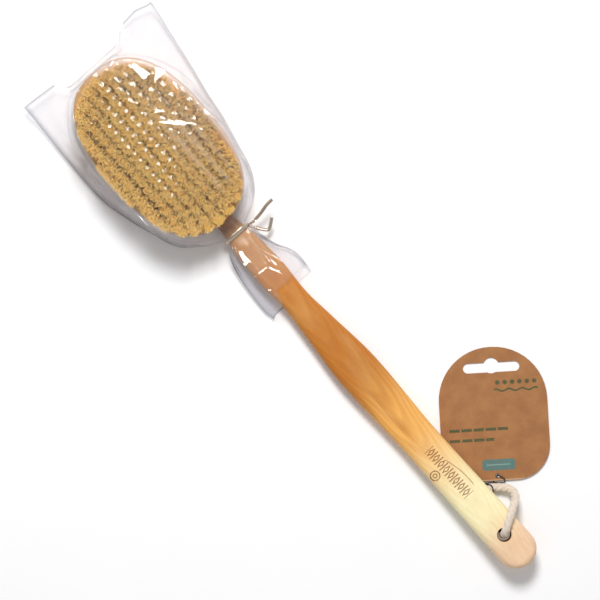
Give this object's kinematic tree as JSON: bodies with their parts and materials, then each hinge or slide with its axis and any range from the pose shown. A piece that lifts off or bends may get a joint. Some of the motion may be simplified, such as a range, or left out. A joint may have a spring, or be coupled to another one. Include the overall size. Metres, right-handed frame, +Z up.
{
  "type": "body dry brush",
  "caption": "Long-handled wooden body brush with an oval head of natural bristle tufts, a hanging loop with a card hang tag, and a clear bag tied over the head.",
  "frame": {"origin": "on the table under the middle of the bagged brush, half way between the handle's end and the bag's sealed edge", "axes": "+Y from the handle's end to the head, +Z up out of the bristles, +X to the right of the handle seen from above"},
  "size_m": [0.1379, 0.428, 0.0422],
  "materials": {
    "block_wood": "lacquered",
    "handle_wood": "satin lacquer",
    "bristle": "natural boar bristle",
    "anchor_wire": "bright",
    "clear_film": "clear glossy film",
    "tie_foil": "foil ribbon over wire",
    "cotton": "soft twisted cotton",
    "kraft_card": "uncoated kraft card, printed",
    "black_string": "waxed thread"
  },
  "bodies": {
    "brush": {"head_block": "block_wood", "handle": "handle_wood", "tuft_row_01": "bristle", "tuft_row_02": "bristle", "tuft_row_03": "bristle", "tuft_row_04": "bristle", "tuft_row_05": "bristle", "tuft_row_06": "bristle", "tuft_row_07": "bristle", "tuft_row_08": "bristle", "tuft_row_09": "bristle", "tuft_row_10": "bristle", "tuft_row_11": "bristle", "tuft_anchors": "anchor_wire", "poly_bag": "clear_film", "twist_tie": "tie_foil"},
    "loop": {"hang_cord": "cotton", "cord_knot": "cotton", "tag_string": "black_string", "string_knot": "black_string"},
    "card": {"hang_tag": "kraft_card"}
  },
  "joints": [
    {"name": "loop_swing", "type": "hinge", "parent": "brush", "child": "loop", "pos_m": [0, -0.1895, 0.013], "axis": [0, 0, 1], "range_deg": [-35, 0]},
    {"name": "card_swivel", "type": "hinge", "parent": "loop", "child": "card", "pos_m": [0.02176, -0.16005, 0.0013], "axis": [0, 0, 1], "range_deg": [-60, 3]}
  ]
}
